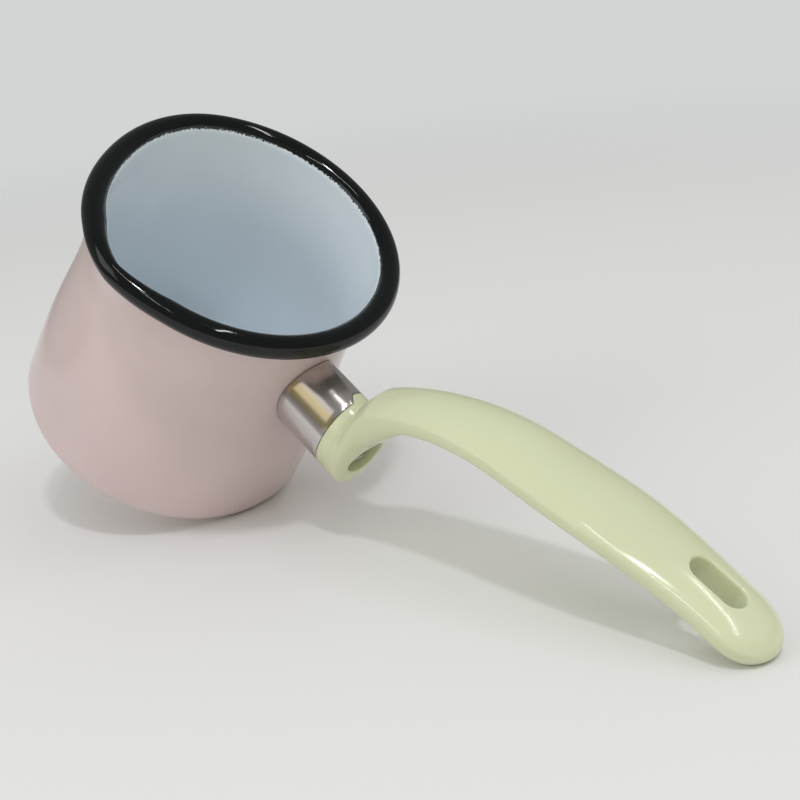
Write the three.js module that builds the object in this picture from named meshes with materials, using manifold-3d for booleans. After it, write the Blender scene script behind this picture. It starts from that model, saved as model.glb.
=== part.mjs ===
// A small enamelled cezve: a drawn steel pot under fused enamel coats, with a rolled rim and a pouring lip,
// and a moulded handle that one screw draws up against a ferrule over a welded bracket.
// Millimetres, +Z up. The origin is the middle of the base and the handle points along +X.

import * as THREE from 'three';
import { mergeVertices } from 'three/addons/utils/BufferGeometryUtils.js';
import Module from 'manifold-3d';

const wasm = await Module();
wasm.setup();

// Pot, measured over the enamel. The steps are how far the wall lies in from the rim
const RIM_DIAMETER = 84;
const POT_HEIGHT = 75;
const BEAD_DIAMETER = 5.9;
const BASE_STEP = 1.6;
const BASE_CORNER_RADIUS = 4.5;
const BELLY_STEP = 2.5;
const BELLY_HEIGHT = 25;
const WAIST_STEP = 5.1;
const WAIST_HEIGHT = 50;

// Sheet and coats
const STEEL_THICKNESS = 0.7;
const ENAMEL_THICKNESS = 0.3;
const COAT_GAP = 0.05;

// Rolled rim: angles run round the bead from its outermost point, over the top and to the inside
const CURL_END_ANGLE = -112;
const RIM_COAT_OUTER_ANGLE = -120;
const RIM_COAT_INNER_ANGLE = 135;
const RIM_COAT_JOINT_ANGLE = 3;

// Pouring lip, pressed into the rim on the -Y side
const LIP_HALF_ANGLE = 22;
const LIP_INNER_REACH = 3;
const LIP_OUTER_REACH = 1.2;
const LIP_DEPTH = 14;

// Flat beside the lip, away from the handle, where the pressed rim is drawn in
const FLAT_ANGLE = 62;
const FLAT_HALF_ANGLE = 58;
const FLAT_DEPTH = 2.5;

// Ferrule: an oval sleeve that stands out of the wall and leans up a little
const FERRULE_HEIGHT = 49.3;
const FERRULE_TILT = 3;
const FERRULE_LENGTH = 14.9;
const FERRULE_WIDTH = 17;
const FERRULE_DEPTH = 22.4;
const FERRULE_WALL = 1;

// Bracket: a strap bent to a U, with two feet on the wall and a nut behind its web
const BRACKET_REACH = 11.7;
const BRACKET_THICKNESS = 1.4;
const BRACKET_WIDTH = 9;
const BRACKET_OPENING = 9.2;
const BRACKET_FOOT = 2.2;
const NUT_WIDTH = 7;
const NUT_THICKNESS = 3.2;

// Screw and washer, a little below the middle of the ferrule
const SCREW_DIAMETER = 4;
const SCREW_DROP = 0.8;
const SCREW_END_PAST_NUT = 1.4;
const HEAD_DIAMETER = 8;
const HEAD_THICKNESS = 2.6;
const HEAD_EDGE_THICKNESS = 1.2;
const HEAD_SLOT_WIDTH = 1.2;
const HEAD_SLOT_DEPTH = 1.3;
const WASHER_DIAMETER = 9.2;
const WASHER_THICKNESS = 0.8;

// Handle boss: an oval flange, and a heel that turns up into the arm and has a flat front for the screw
const FLANGE_OVERHANG = 0.1;
const FLANGE_THICKNESS = 2.3;
const BOSS_LENGTH = 9.3;
const BOSS_STEP = 0.1;
const BOSS_EDGE_RADIUS = 2.6;
const FRONT_TILT = 5;
const FRONT_RISE = 6.3;
const COUNTERBORE_DIAMETER = 10.5;
const COUNTERBORE_DEPTH = 5.1;

// Key: a tooth on the flange that widens towards it, a little to one side of the top
const KEY_LENGTH = 2;
const KEY_TIP_WIDTH = 3;
const KEY_FLARE = 37;
const KEY_OFFSET = 1.8;

// Handle arm: a root bend, a neck bend, a straight stretch and a long grip bend along its shoulder line.
// A ridge runs along each side. The top face rises from it by a power, 1 for an oval and 2 for a parabola
const ROOT_SLOPE = 67;
const ROOT_BEND_RADIUS = 26;
const NECK_SLOPE = 45.7;
const NECK_BEND_RADIUS = 77;
const GRIP_SLOPE = 13.5;
const STRAIGHT_LENGTH = 20.5;
const GRIP_BEND_RADIUS = 164;
const GRIP_BEND_LENGTH = 47.6;
const NECK_WIDTH = 19;
const GRIP_WIDTH = 23.4;
const TIP_WIDTH = 19.1;
const TIP_ROUND_LENGTH = 11;
const TIP_EDGE_LENGTH = 6;
const NECK_DEPTH = 8.7;
const NECK_TAPER_LENGTH = 11.7;
const GRIP_DEPTH = 5.8;
const NECK_CROWN = 2.6;
const GRIP_CROWN = 2.4;
const RIDGE_DROP = 0.9;
const CROWN_POWER = 1.6;
const UNDER_SQUARENESS = 3.5;
const SLOT_LENGTH = 14;
const SLOT_WIDTH = 6.4;
const SLOT_END_WALL = 11;

// Clearances
const COPE_GAP = 0.3;
const SEAT_GAP = 0.1;
const SLIDE_GAP = 0.3;
const THREAD_GAP = 0.15;
const SCREW_HOLE_GAP = 0.4;

// Facets
const TURN_STEPS = 36;
const CORNER_STEPS = 3;
const WALL_STEPS = 6;
const BEAD_STEP_ANGLE = 20;
const OVAL_STEPS = 28;
const ROUND_STEPS = 20;
const DOME_STEPS = 5;
const HEEL_STATIONS = 14;
const ARM_STATIONS = 26;
const ARM_SECTION_STEPS = 24;

// Sizes that follow from the ones above
const RIM_RADIUS = RIM_DIAMETER / 2;
const BEAD_RADIUS = BEAD_DIAMETER / 2;
const BASE_RADIUS = RIM_RADIUS - BASE_STEP;
const MOUTH_RADIUS = RIM_RADIUS - BEAD_DIAMETER;
const STEEL_INSET = ENAMEL_THICKNESS + COAT_GAP;
const LINING_INSET = STEEL_INSET + STEEL_THICKNESS + COAT_GAP;
const WALL_THICKNESS = LINING_INSET + ENAMEL_THICKNESS;
const BEAD_CENTRE = new THREE.Vector2(RIM_RADIUS - BEAD_RADIUS, POT_HEIGHT - BEAD_RADIUS);
const CURL_RADIUS = BEAD_RADIUS - STEEL_INSET;
const NECK_TOP = BEAD_CENTRE.y - BEAD_RADIUS - COAT_GAP;
const WALL = new THREE.SplineCurve([
  new THREE.Vector2(BASE_RADIUS, BASE_CORNER_RADIUS),
  new THREE.Vector2(RIM_RADIUS - BELLY_STEP, BELLY_HEIGHT),
  new THREE.Vector2(RIM_RADIUS - WAIST_STEP, WAIST_HEIGHT),
  new THREE.Vector2(MOUTH_RADIUS + WALL_THICKNESS, NECK_TOP),
]);
const FERRULE_HALF = new THREE.Vector2(FERRULE_WIDTH / 2, FERRULE_DEPTH / 2);
const INSIDE_POT = -BASE_RADIUS / 2;
const FLANGE_START = FERRULE_LENGTH + SEAT_GAP;
const FLANGE_END = FLANGE_START + FLANGE_THICKNESS;
const BOSS_HALF = FERRULE_HALF.clone().addScalar(FLANGE_OVERHANG - BOSS_STEP);
const BOSS_FRONT = FLANGE_START + BOSS_LENGTH;
const COUNTERBORE_FLOOR = BOSS_FRONT - COUNTERBORE_DEPTH;
const WEB_BACK = BRACKET_REACH - BRACKET_THICKNESS;
const NUT_START = WEB_BACK - SEAT_GAP - NUT_THICKNESS;
const WASHER_START = COUNTERBORE_FLOOR + SEAT_GAP;
const HEAD_START = WASHER_START + WASHER_THICKNESS + SEAT_GAP;
const SCREW_RADIUS = SCREW_DIAMETER / 2;
const SCREW_HOLE_RADIUS = SCREW_RADIUS + SCREW_HOLE_GAP;
const ROOT_BEND_LENGTH = ROOT_BEND_RADIUS * THREE.MathUtils.degToRad(ROOT_SLOPE - NECK_SLOPE);
const NECK_BEND_LENGTH = NECK_BEND_RADIUS * THREE.MathUtils.degToRad(NECK_SLOPE - GRIP_SLOPE);
const GRIP_START = ROOT_BEND_LENGTH + NECK_BEND_LENGTH;
const GRIP_MIDDLE = GRIP_START + STRAIGHT_LENGTH;
const ARM_LENGTH = GRIP_MIDDLE + GRIP_BEND_LENGTH;

const AXIS_X = new THREE.Vector3(1, 0, 0);
const AXIS_Y = new THREE.Vector3(0, 1, 0);
const AXIS_Z = new THREE.Vector3(0, 0, 1);

const MATERIALS = {
  steel: new THREE.MeshStandardMaterial({ color: 0x6f7275, roughness: 0.45, metalness: 1 }),
  pink: new THREE.MeshStandardMaterial({ color: 0xbfaaa8, roughness: 0.15, metalness: 0 }),
  white: new THREE.MeshStandardMaterial({ color: 0xc3cccf, roughness: 0.15, metalness: 0 }),
  black: new THREE.MeshStandardMaterial({ color: 0x1c2023, roughness: 0.12, metalness: 0 }),
  bright: new THREE.MeshStandardMaterial({ color: 0xb8b6b2, roughness: 0.15, metalness: 1 }),
  green: new THREE.MeshStandardMaterial({ color: 0xd0d3a8, roughness: 0.3, metalness: 0 }),
};

// Solids

function toSolid(geometry) {
  const bare = geometry.clone();
  bare.deleteAttribute('normal');
  bare.deleteAttribute('uv');
  const merged = mergeVertices(bare);
  const corners = merged.index.array;
  const triangles = [];
  for (let i = 0; i < corners.length; i += 3) {
    const [a, b, c] = corners.slice(i, i + 3);
    if (a !== b && b !== c && c !== a) {
      triangles.push(a, b, c);
    }
  }
  const vertProperties = new Float32Array(merged.attributes.position.array);
  const triVerts = new Uint32Array(triangles);
  return new wasm.Manifold(new wasm.Mesh({ numProp: 3, vertProperties, triVerts }));
}

function toMesh(name, solid, material) {
  const { vertProperties, triVerts } = solid.getMesh();
  const geometry = new THREE.BufferGeometry();
  geometry.setAttribute('position', new THREE.BufferAttribute(vertProperties, 3));
  geometry.setIndex(new THREE.BufferAttribute(triVerts, 1));
  geometry.computeVertexNormals();
  const mesh = new THREE.Mesh(geometry, material);
  mesh.name = name;
  return mesh;
}

function movePoints(geometry, change) {
  const places = geometry.attributes.position;
  const point = new THREE.Vector3();
  for (let i = 0; i < places.count; i += 1) {
    change(point.fromBufferAttribute(places, i));
    places.setXYZ(i, point.x, point.y, point.z);
  }
  return geometry;
}

// Pot outlines, as radius and height

function arcOutline(centre, radius, from, to, steps) {
  const points = [];
  for (let i = 0; i <= steps; i += 1) {
    const angle = THREE.MathUtils.degToRad(THREE.MathUtils.lerp(from, to, i / steps));
    points.push(new THREE.Vector2(Math.cos(angle), Math.sin(angle)).multiplyScalar(radius).add(centre));
  }
  return points;
}

// An arc round the bead whose corners lie at the same angles on every coat
function beadOutline(radius, from, to) {
  const low = Math.min(from, to);
  const high = Math.max(from, to);
  const first = BEAD_STEP_ANGLE * (Math.floor(low / BEAD_STEP_ANGLE) + 1);
  const angles = [low];
  for (let angle = first; angle < high; angle += BEAD_STEP_ANGLE) {
    angles.push(angle);
  }
  angles.push(high);
  const points = angles.map((angle) => arcOutline(BEAD_CENTRE, radius, angle, angle, 1)[0]);
  return from < to ? points : points.reverse();
}

// From the axis, out along the base and up to the neck, set in from the outer face
function wallOutline(inset) {
  const centre = new THREE.Vector2(BASE_RADIUS - BASE_CORNER_RADIUS, BASE_CORNER_RADIUS);
  const corner = arcOutline(centre, BASE_CORNER_RADIUS - inset, -90, 0, CORNER_STEPS);
  const side = WALL.getPoints(WALL_STEPS).slice(1).map(({ x, y }) => new THREE.Vector2(x - inset, y));
  return [new THREE.Vector2(0, inset), ...corner, ...side];
}

function wallRadius(height) {
  const points = WALL.getPoints(WALL_STEPS);
  const next = points.findIndex((point) => point.y > height);
  const below = points[next - 1];
  const share = (height - below.y) / (points[next].y - below.y);
  return THREE.MathUtils.lerp(below.x, points[next].x, share);
}

// The lip bends the wall out and flattens the bead, most of all at its middle.
// The flat beside it draws the wall in.
function pressRim(point) {
  const { clamp, lerp, radToDeg, smoothstep } = THREE.MathUtils;
  const radius = Math.hypot(point.x, point.y);
  if (radius === 0) {
    return;
  }
  const turn = radToDeg(Math.atan2(point.x, -point.y));
  const lip = Math.max(0, 1 - Math.abs(turn) / LIP_HALF_ANGLE);
  const flat = 1 - smoothstep(Math.abs(turn + FLAT_ANGLE), 0, FLAT_HALF_ANGLE);
  const up = smoothstep(point.z, BEAD_CENTRE.y - LIP_DEPTH, BEAD_CENTRE.y);
  const outward = clamp((radius - MOUTH_RADIUS) / BEAD_DIAMETER, 0, 1);
  const reach = (lerp(LIP_INNER_REACH, LIP_OUTER_REACH, outward) * lip - FLAT_DEPTH * flat) * up;
  point.x *= 1 + reach / radius;
  point.y *= 1 + reach / radius;
}

// Each face of the turned form is split along its shorter diagonal, so nested coats stay parallel at the lip
function splitShort(geometry, rows) {
  const places = geometry.attributes.position;
  const corner = (i) => new THREE.Vector3().fromBufferAttribute(places, i);
  const index = [];
  for (let turn = 0; turn < TURN_STEPS; turn += 1) {
    for (let row = 0; row < rows - 1; row += 1) {
      const a = turn * rows + row;
      const b = a + rows;
      const c = b + 1;
      const d = a + 1;
      if (corner(a).distanceTo(corner(c)) < corner(b).distanceTo(corner(d))) {
        index.push(a, b, c, a, c, d);
      } else {
        index.push(a, b, d, c, d, b);
      }
    }
  }
  geometry.setIndex(index);
  return geometry;
}

function turned(outline) {
  const geometry = new THREE.LatheGeometry(outline, TURN_STEPS).rotateX(Math.PI / 2);
  movePoints(geometry, pressRim);
  return toSolid(splitShort(geometry, outline.length));
}

function potShell() {
  const inside = wallOutline(STEEL_INSET + STEEL_THICKNESS).reverse();
  return turned([
    ...wallOutline(STEEL_INSET),
    ...beadOutline(CURL_RADIUS - STEEL_THICKNESS, 180, CURL_END_ANGLE),
    ...beadOutline(CURL_RADIUS, CURL_END_ANGLE, 180),
    ...inside,
  ]);
}

function outerEnamel() {
  return turned([...wallOutline(0), ...wallOutline(ENAMEL_THICKNESS).reverse()]);
}

function innerEnamel() {
  const end = RIM_COAT_INNER_ANGLE + RIM_COAT_JOINT_ANGLE;
  return turned([
    ...wallOutline(LINING_INSET),
    ...beadOutline(BEAD_RADIUS - ENAMEL_THICKNESS, 180, end),
    ...beadOutline(BEAD_RADIUS, end, 180),
    ...wallOutline(WALL_THICKNESS).reverse(),
  ]);
}

function rimEnamel() {
  const outside = beadOutline(BEAD_RADIUS, RIM_COAT_OUTER_ANGLE, RIM_COAT_INNER_ANGLE);
  const inside = beadOutline(BEAD_RADIUS - ENAMEL_THICKNESS, RIM_COAT_INNER_ANGLE, RIM_COAT_OUTER_ANGLE);
  return turned([...outside, ...inside, outside[0]]);
}

// Handle frame: x runs out of the wall along the screw, z rises, and the origin lies at the wall

const handleGroup = new THREE.Group();
handleGroup.position.set(wallRadius(FERRULE_HEIGHT), 0, FERRULE_HEIGHT - SCREW_DROP);
handleGroup.rotation.y = -THREE.MathUtils.degToRad(FERRULE_TILT);
handleGroup.updateMatrix();

// The pot's outside, grown by a gap, as seen from the handle frame
function potBlank(gap) {
  const outline = [...wallOutline(-gap), new THREE.Vector2(0, NECK_TOP)];
  return turned(outline).transform(handleGroup.matrix.clone().invert().elements);
}

// Pushes a shape drawn in y and z along x
function alongX(shape, from, to, options = {}) {
  const settings = { depth: to - from, bevelEnabled: false, curveSegments: OVAL_STEPS, ...options };
  const turn = new THREE.Matrix4().makeBasis(AXIS_Y, AXIS_Z, AXIS_X);
  return toSolid(new THREE.ExtrudeGeometry(shape, settings).applyMatrix4(turn).translate(from, 0, 0));
}

function oval(half, grow) {
  return new THREE.Shape().absellipse(0, SCREW_DROP, half.x + grow, half.y + grow, 0, 2 * Math.PI);
}

// What fits inside the ferrule, clear of its wall
function ferruleFill(from, to) {
  return alongX(oval(FERRULE_HALF, -FERRULE_WALL - SLIDE_GAP), from, to);
}

function plate(low, high) {
  const size = new THREE.Vector3().subVectors(high, low);
  const middle = new THREE.Vector3().addVectors(low, high).multiplyScalar(0.5);
  return toSolid(new THREE.BoxGeometry(size.x, size.y, size.z).translate(middle.x, middle.y, middle.z));
}

function rod(radius, from, to) {
  const cylinder = new THREE.CylinderGeometry(radius, radius, to - from, ROUND_STEPS);
  return toSolid(cylinder.rotateZ(-Math.PI / 2).translate((from + to) / 2, 0, 0));
}

// The key, grown by a gap, as a wedge that stands up through the top of the ferrule
function keyWedge(gap) {
  const tipHalf = KEY_TIP_WIDTH / 2 + gap;
  const start = FERRULE_LENGTH - KEY_LENGTH - gap;
  const baseHalf = tipHalf + (FLANGE_END - start) * Math.tan(THREE.MathUtils.degToRad(KEY_FLARE));
  const shape = new THREE.Shape([
    new THREE.Vector2(start, KEY_OFFSET - tipHalf),
    new THREE.Vector2(FLANGE_END, KEY_OFFSET - baseHalf),
    new THREE.Vector2(FLANGE_END, KEY_OFFSET + baseHalf),
    new THREE.Vector2(start, KEY_OFFSET + tipHalf),
  ]);
  return toSolid(new THREE.ExtrudeGeometry(shape, { depth: FERRULE_DEPTH, bevelEnabled: false }));
}

function ferrule() {
  const sleeve = alongX(oval(FERRULE_HALF, 0), INSIDE_POT, FERRULE_LENGTH);
  const hollow = alongX(oval(FERRULE_HALF, -FERRULE_WALL), 2 * INSIDE_POT, FERRULE_LENGTH + FERRULE_WALL);
  return sleeve.subtract(hollow).subtract(potBlank(COPE_GAP)).subtract(keyWedge(SLIDE_GAP));
}

function handleBracket() {
  const half = BRACKET_WIDTH / 2;
  const inner = BRACKET_OPENING / 2;
  const outer = inner + BRACKET_THICKNESS;
  const strap = plate(
    new THREE.Vector3(INSIDE_POT, -half, -outer),
    new THREE.Vector3(BRACKET_REACH, half, outer),
  );
  const opening = plate(
    new THREE.Vector3(2 * INSIDE_POT, -BRACKET_WIDTH, -inner),
    new THREE.Vector3(WEB_BACK, BRACKET_WIDTH, inner),
  );
  const footReach = outer + BRACKET_FOOT;
  const feet = plate(
    new THREE.Vector3(INSIDE_POT, -half, -footReach),
    new THREE.Vector3(FERRULE_LENGTH, half, footReach),
  ).intersect(potBlank(COPE_GAP + BRACKET_THICKNESS));
  const hole = rod(SCREW_HOLE_RADIUS, 0, FERRULE_LENGTH);
  const bent = strap.add(feet).intersect(ferruleFill(INSIDE_POT, FERRULE_LENGTH));
  return bent.subtract(opening).subtract(potBlank(COPE_GAP)).subtract(hole);
}

function bracketNut() {
  const half = NUT_WIDTH / 2;
  const block = plate(
    new THREE.Vector3(NUT_START, -half, -half),
    new THREE.Vector3(NUT_START + NUT_THICKNESS, half, half),
  );
  return block.subtract(rod(SCREW_RADIUS + THREAD_GAP, 0, FERRULE_LENGTH));
}

function screwWasher() {
  const disc = rod(WASHER_DIAMETER / 2, WASHER_START, WASHER_START + WASHER_THICKNESS);
  return disc.subtract(rod(SCREW_RADIUS + THREAD_GAP, 0, BOSS_FRONT));
}

function handleScrew() {
  const headRadius = HEAD_DIAMETER / 2;
  const headTop = HEAD_START + HEAD_THICKNESS;
  const slotHalf = HEAD_SLOT_WIDTH / 2;
  const domeStart = HEAD_START + HEAD_EDGE_THICKNESS;
  const dome = arcOutline(new THREE.Vector2(), 1, 0, 90, DOME_STEPS).map(
    ({ x, y }) => new THREE.Vector2(headRadius * x, domeStart + (headTop - domeStart) * y),
  );
  const outline = [new THREE.Vector2(0, HEAD_START), new THREE.Vector2(headRadius, HEAD_START), ...dome];
  const head = new THREE.LatheGeometry(outline, ROUND_STEPS).rotateZ(-Math.PI / 2);
  const slot = plate(
    new THREE.Vector3(headTop - HEAD_SLOT_DEPTH, -HEAD_DIAMETER, -slotHalf),
    new THREE.Vector3(headTop + HEAD_THICKNESS, HEAD_DIAMETER, slotHalf),
  );
  const shank = rod(SCREW_RADIUS, NUT_START - SCREW_END_PAST_NUT, domeStart);
  return toSolid(head).subtract(slot).add(shank);
}

// Place and lean of the arm's shoulder line at a distance from its start, at the top of the flange
function armPlace(distance) {
  const start = new THREE.Vector2(FLANGE_END, SCREW_DROP + BOSS_HALF.y);
  const stretches = [
    { length: ROOT_BEND_LENGTH, radius: ROOT_BEND_RADIUS },
    { length: NECK_BEND_LENGTH, radius: NECK_BEND_RADIUS },
    { length: STRAIGHT_LENGTH, radius: Infinity },
    { length: GRIP_BEND_LENGTH, radius: GRIP_BEND_RADIUS },
  ];
  let lean = THREE.MathUtils.degToRad(ROOT_SLOPE);
  let left = distance;
  for (const { length, radius } of stretches) {
    const run = Math.min(left, length);
    const turn = run / radius;
    const chord = turn > 0 ? 2 * radius * Math.sin(turn / 2) : run;
    start.add(new THREE.Vector2(Math.cos(lean - turn / 2), Math.sin(lean - turn / 2)).multiplyScalar(chord));
    lean -= turn;
    left -= run;
  }
  return { place: start, lean };
}

function armPoint(distance, above) {
  const { place, lean } = armPlace(distance);
  return new THREE.Vector2(-Math.sin(lean), Math.cos(lean)).multiplyScalar(above).add(place);
}

// Share of the full section left at a distance from a rounded end
function roundedEnd(distance, length) {
  const inside = Math.max(0, 1 - distance / length);
  return Math.sqrt(Math.max(0, 1 - inside * inside));
}

// The heel's underside from the flange: along the bottom, up the front and out to the neck
function heelKeel() {
  const front = (height) => BOSS_FRONT + height * Math.tan(THREE.MathUtils.degToRad(FRONT_TILT));
  const low = SCREW_DROP - BOSS_HALF.y;
  const corner = low + BOSS_EDGE_RADIUS;
  const neck = armPoint(ROOT_BEND_LENGTH, -NECK_DEPTH);
  return new THREE.Path()
    .moveTo(FLANGE_END, low)
    .lineTo(front(low) - BOSS_EDGE_RADIUS, low)
    .quadraticCurveTo(front(low), low, front(corner), corner)
    .lineTo(front(FRONT_RISE), FRONT_RISE)
    .lineTo(neck.x, neck.y);
}

const HEEL_KEEL = heelKeel();

// A section runs from the crest, past the ridges on both sides, to the keel.
// In the heel it changes from the flange's oval to the neck's section
function heelSection(share) {
  const { lerp } = THREE.MathUtils;
  const neck = armSection(ROOT_BEND_LENGTH);
  return {
    crest: armPoint(share * ROOT_BEND_LENGTH, share * NECK_CROWN),
    keel: HEEL_KEEL.getPoint(share),
    width: lerp(2 * BOSS_HALF.x, neck.width, share),
    ridge: lerp(1 / 2, neck.ridge, share),
    crownPower: lerp(1, neck.crownPower, share),
    squareness: lerp(2, neck.squareness, share),
  };
}

function armSection(distance) {
  const { lerp, smoothstep } = THREE.MathUtils;
  const toTip = ARM_LENGTH - distance;
  const taper = smoothstep(distance, ROOT_BEND_LENGTH, ROOT_BEND_LENGTH + NECK_TAPER_LENGTH);
  const crown = lerp(NECK_CROWN, GRIP_CROWN, smoothstep(distance, ROOT_BEND_LENGTH, GRIP_START));
  const depth = lerp(NECK_DEPTH, GRIP_DEPTH, taper);
  const toGrip = lerp(NECK_WIDTH, GRIP_WIDTH, smoothstep(distance, ROOT_BEND_LENGTH, GRIP_MIDDLE));
  const width = lerp(toGrip, TIP_WIDTH, smoothstep(distance, GRIP_MIDDLE, ARM_LENGTH - TIP_ROUND_LENGTH));
  const middle = (crown - depth) / 2;
  const half = ((crown + depth) / 2) * roundedEnd(toTip, TIP_EDGE_LENGTH);
  return {
    crest: armPoint(distance, middle + half),
    keel: armPoint(distance, middle - half),
    width: width * roundedEnd(toTip, TIP_ROUND_LENGTH),
    ridge: (crown + RIDGE_DROP) / (crown + depth),
    crownPower: CROWN_POWER,
    squareness: UNDER_SQUARENESS,
  };
}

// Heel sections at even steps, then arm sections that close up towards the tip
function sectionAt(station) {
  if (station < HEEL_STATIONS) {
    return heelSection(station / HEEL_STATIONS);
  }
  const share = Math.sin(((station - HEEL_STATIONS) / ARM_STATIONS) * (Math.PI / 2));
  return armSection(THREE.MathUtils.lerp(ROOT_BEND_LENGTH, ARM_LENGTH, share));
}

// A unit cylinder drawn out along the heel and the arm: its height becomes the station
// and its rounds become sections
function armSolid() {
  const stations = HEEL_STATIONS + ARM_STATIONS;
  const sections = Array.from({ length: stations + 1 }, (_, station) => sectionAt(station));
  const cylinder = new THREE.CylinderGeometry(1, 1, stations, ARM_SECTION_STEPS, stations);
  return toSolid(movePoints(cylinder, (point) => {
    const section = sections[Math.round(stations / 2 - point.y)];
    const { ridge, width, squareness, crownPower } = section;
    const bend = point.z < 0 ? 2 / squareness : 1;
    const down = point.z < 0
      ? ridge + (1 - ridge) * Math.abs(point.z) ** bend
      : ridge * (1 - point.z ** crownPower);
    const side = Math.sign(point.x) * Math.abs(point.x) ** bend * (width / 2);
    const place = section.crest.clone().lerp(section.keel, down);
    point.set(place.x, side, place.y);
  }));
}

function slotCut() {
  const half = SLOT_WIDTH / 2;
  const run = SLOT_LENGTH / 2 - half;
  const { place } = armPlace(ARM_LENGTH);
  const shape = new THREE.Shape();
  shape.absarc(run, 0, half, -Math.PI / 2, Math.PI / 2);
  shape.absarc(-run, 0, half, Math.PI / 2, 1.5 * Math.PI);
  const settings = { depth: 2 * place.y, bevelEnabled: false, curveSegments: ROUND_STEPS / 2 };
  const middle = place.x - SLOT_END_WALL - SLOT_LENGTH / 2;
  return toSolid(new THREE.ExtrudeGeometry(shape, settings).translate(middle, 0, 0));
}

function handle() {
  const flange = alongX(oval(FERRULE_HALF, FLANGE_OVERHANG), FLANGE_START, FLANGE_END);
  const spigot = ferruleFill(BRACKET_REACH + SEAT_GAP, FLANGE_START + FLANGE_THICKNESS / 2);
  const key = keyWedge(0).intersect(alongX(oval(FERRULE_HALF, FLANGE_OVERHANG), 0, FLANGE_END));
  const bore = rod(SCREW_HOLE_RADIUS, 0, BOSS_FRONT);
  const counterbore = rod(COUNTERBORE_DIAMETER / 2, COUNTERBORE_FLOOR, BOSS_FRONT + COUNTERBORE_DEPTH);
  const moulding = armSolid().add(flange).add(spigot).add(key);
  return moulding.subtract(bore).subtract(counterbore).subtract(slotCut());
}

// Assembly

const cezve = new THREE.Group();
cezve.add(
  toMesh('pot_shell', potShell(), MATERIALS.steel),
  toMesh('outer_enamel', outerEnamel(), MATERIALS.pink),
  toMesh('inner_enamel', innerEnamel(), MATERIALS.white),
  toMesh('rim_enamel', rimEnamel(), MATERIALS.black),
  handleGroup,
);
handleGroup.add(
  toMesh('handle_bracket', handleBracket(), MATERIALS.steel),
  toMesh('bracket_nut', bracketNut(), MATERIALS.steel),
  toMesh('ferrule', ferrule(), MATERIALS.bright),
  toMesh('handle', handle(), MATERIALS.green),
  toMesh('handle_screw', handleScrew(), MATERIALS.bright),
  toMesh('screw_washer', screwWasher(), MATERIALS.bright),
);

export default cezve;
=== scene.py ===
"""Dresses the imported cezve: glossy enamel over the pot, a bright ferrule and a moulded handle."""

import math

import bmesh
import bpy
import numpy as np
from mathutils import Matrix, Vector
from mathutils.bvhtree import BVHTree


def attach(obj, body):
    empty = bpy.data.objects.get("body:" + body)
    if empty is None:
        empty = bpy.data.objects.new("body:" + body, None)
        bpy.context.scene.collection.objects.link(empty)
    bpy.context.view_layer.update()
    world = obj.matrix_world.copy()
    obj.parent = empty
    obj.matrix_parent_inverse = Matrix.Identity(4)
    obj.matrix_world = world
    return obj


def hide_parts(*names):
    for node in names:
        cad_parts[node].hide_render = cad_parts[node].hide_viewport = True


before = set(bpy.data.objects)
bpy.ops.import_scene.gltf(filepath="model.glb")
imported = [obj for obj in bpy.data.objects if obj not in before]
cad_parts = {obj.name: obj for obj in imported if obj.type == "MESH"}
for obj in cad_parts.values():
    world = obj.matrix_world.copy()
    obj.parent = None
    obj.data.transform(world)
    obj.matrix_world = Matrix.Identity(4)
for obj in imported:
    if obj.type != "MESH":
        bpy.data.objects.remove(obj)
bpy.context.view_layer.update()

# Sizes in millimetres, as in the solids
MM = 0.001
RIM_RADIUS = 42.0
POT_HEIGHT = 75.0
BEAD_RADIUS = 2.95
BASE_RADIUS = 40.4
BASE_CORNER = 4.5
COAT = 0.3
LINING_INSET = 1.1
WALL_THICKNESS = LINING_INSET + COAT
MOUTH_RADIUS = RIM_RADIUS - 2 * BEAD_RADIUS
BEAD_CENTRE = np.array([RIM_RADIUS - BEAD_RADIUS, POT_HEIGHT - BEAD_RADIUS])
NECK_DROP = BEAD_RADIUS + 0.05
NECK_TOP = BEAD_CENTRE[1] - NECK_DROP
WALL_NODES = np.array([
    (BASE_RADIUS, BASE_CORNER),
    (39.5, 25.0),
    (36.9, 50.0),
    (MOUTH_RADIUS + WALL_THICKNESS, NECK_TOP),
])
TURNS = 240
FLOOR_RADII = (0, 12, 24)
CORNER_POINTS = 10
WALL_POINTS = 56

LIP_HALF_ANGLE = 22.0
LIP_TENT = 1.02
LIP_TIP_SOFTENING = 0.0016
LIP_FOOT_SOFTENING = 0.004
LIP_FADE_ANGLE = 20.0
LIP_INNER_REACH = 3.0
LIP_OUTER_REACH = 1.2
LIP_DEPTH = 14.0
FLAT_ANGLE = 62.0
FLAT_HALF_ANGLE = 58.0
FLAT_DEPTH = 2.5
RIM_COAT_START = math.radians(-300) * BEAD_RADIUS
RIM_COAT_END = math.radians(-40) * BEAD_RADIUS
COAT_JOINT = 0.05

# Waves in the black coat's edge: height, count round the rim and phase
COAT_WAVES = (
    (0.22, 3, 2.6 + math.pi / 2), (0.1, 7, 1.0), (0.07, 17, 0.4), (0.05, 41, 2.0), (0.04, 67, 0.0),
)

# The lining is thicker in the hollow of the lip, over these heights
LIP_POOL = 0.45
POOL_RISE = (50, 58)
POOL_FALL = (72.2, 73.6)
POOL_SHARPNESS = 6

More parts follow.
